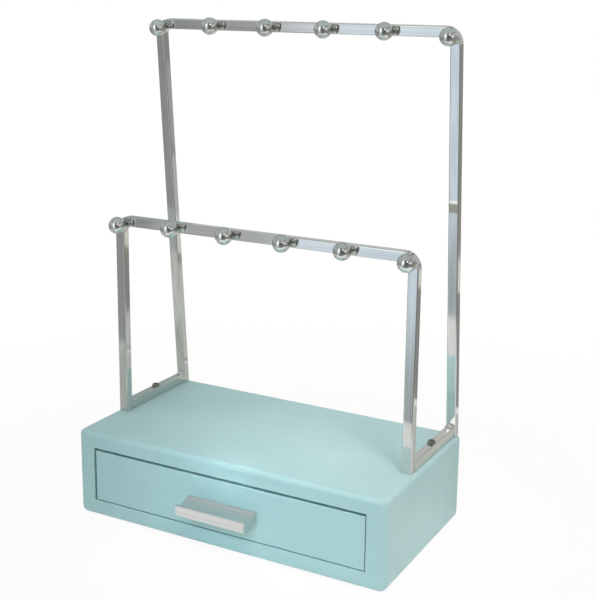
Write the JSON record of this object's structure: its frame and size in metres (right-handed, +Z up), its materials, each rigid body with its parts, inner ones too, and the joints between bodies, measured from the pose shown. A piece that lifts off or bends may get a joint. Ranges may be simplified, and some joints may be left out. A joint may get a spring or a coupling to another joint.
{
  "type": "jewelry stand",
  "caption": "Lacquered box with an inset pull-out drawer, carrying two inverted-U chromed bar frames with ball hooks for necklaces.",
  "frame": {"origin": "middle of the box's underside, on the table", "axes": "+Z up, front of the drawer towards -Y, +X to the right when facing the drawer"},
  "size_m": [0.241, 0.1465, 0.3511],
  "materials": {
    "lacquer": "pale turquoise semi-gloss lacquer on MDF",
    "drawer_boards": "thin matt turquoise coat on MDF",
    "hardboard": "smooth brown hardboard",
    "chrome": "bright chrome plating on steel bar",
    "satin_aluminium": "satin aluminium",
    "screw_steel": "dark oxide steel screws"
  },
  "bodies": {
    "case": {"case_top": "lacquer", "case_bottom": "lacquer", "case_left_side": "lacquer", "case_right_side": "lacquer", "case_back": "lacquer", "front_frame": "chrome", "rear_frame": "chrome", "left_rail": "chrome", "right_rail": "chrome", "foot_screws": "screw_steel", "front_ball_1": "chrome", "front_ball_2": "chrome", "front_ball_3": "chrome", "front_ball_4": "chrome", "front_ball_5": "chrome", "front_ball_6": "chrome", "rear_ball_1": "chrome", "rear_ball_2": "chrome", "rear_ball_3": "chrome", "rear_ball_4": "chrome", "rear_ball_5": "chrome", "rear_ball_6": "chrome"},
    "drawer": {"drawer_front": "lacquer", "drawer_left_side": "drawer_boards", "drawer_right_side": "drawer_boards", "drawer_back": "drawer_boards", "drawer_bottom": "hardboard", "drawer_pull": "satin_aluminium", "pull_screws": "screw_steel"}
  },
  "joints": [
    {"name": "drawer_slide", "type": "slide", "parent": "case", "child": "drawer", "axis": [0, -1, 0], "range_m": [0, 0.085]}
  ]
}
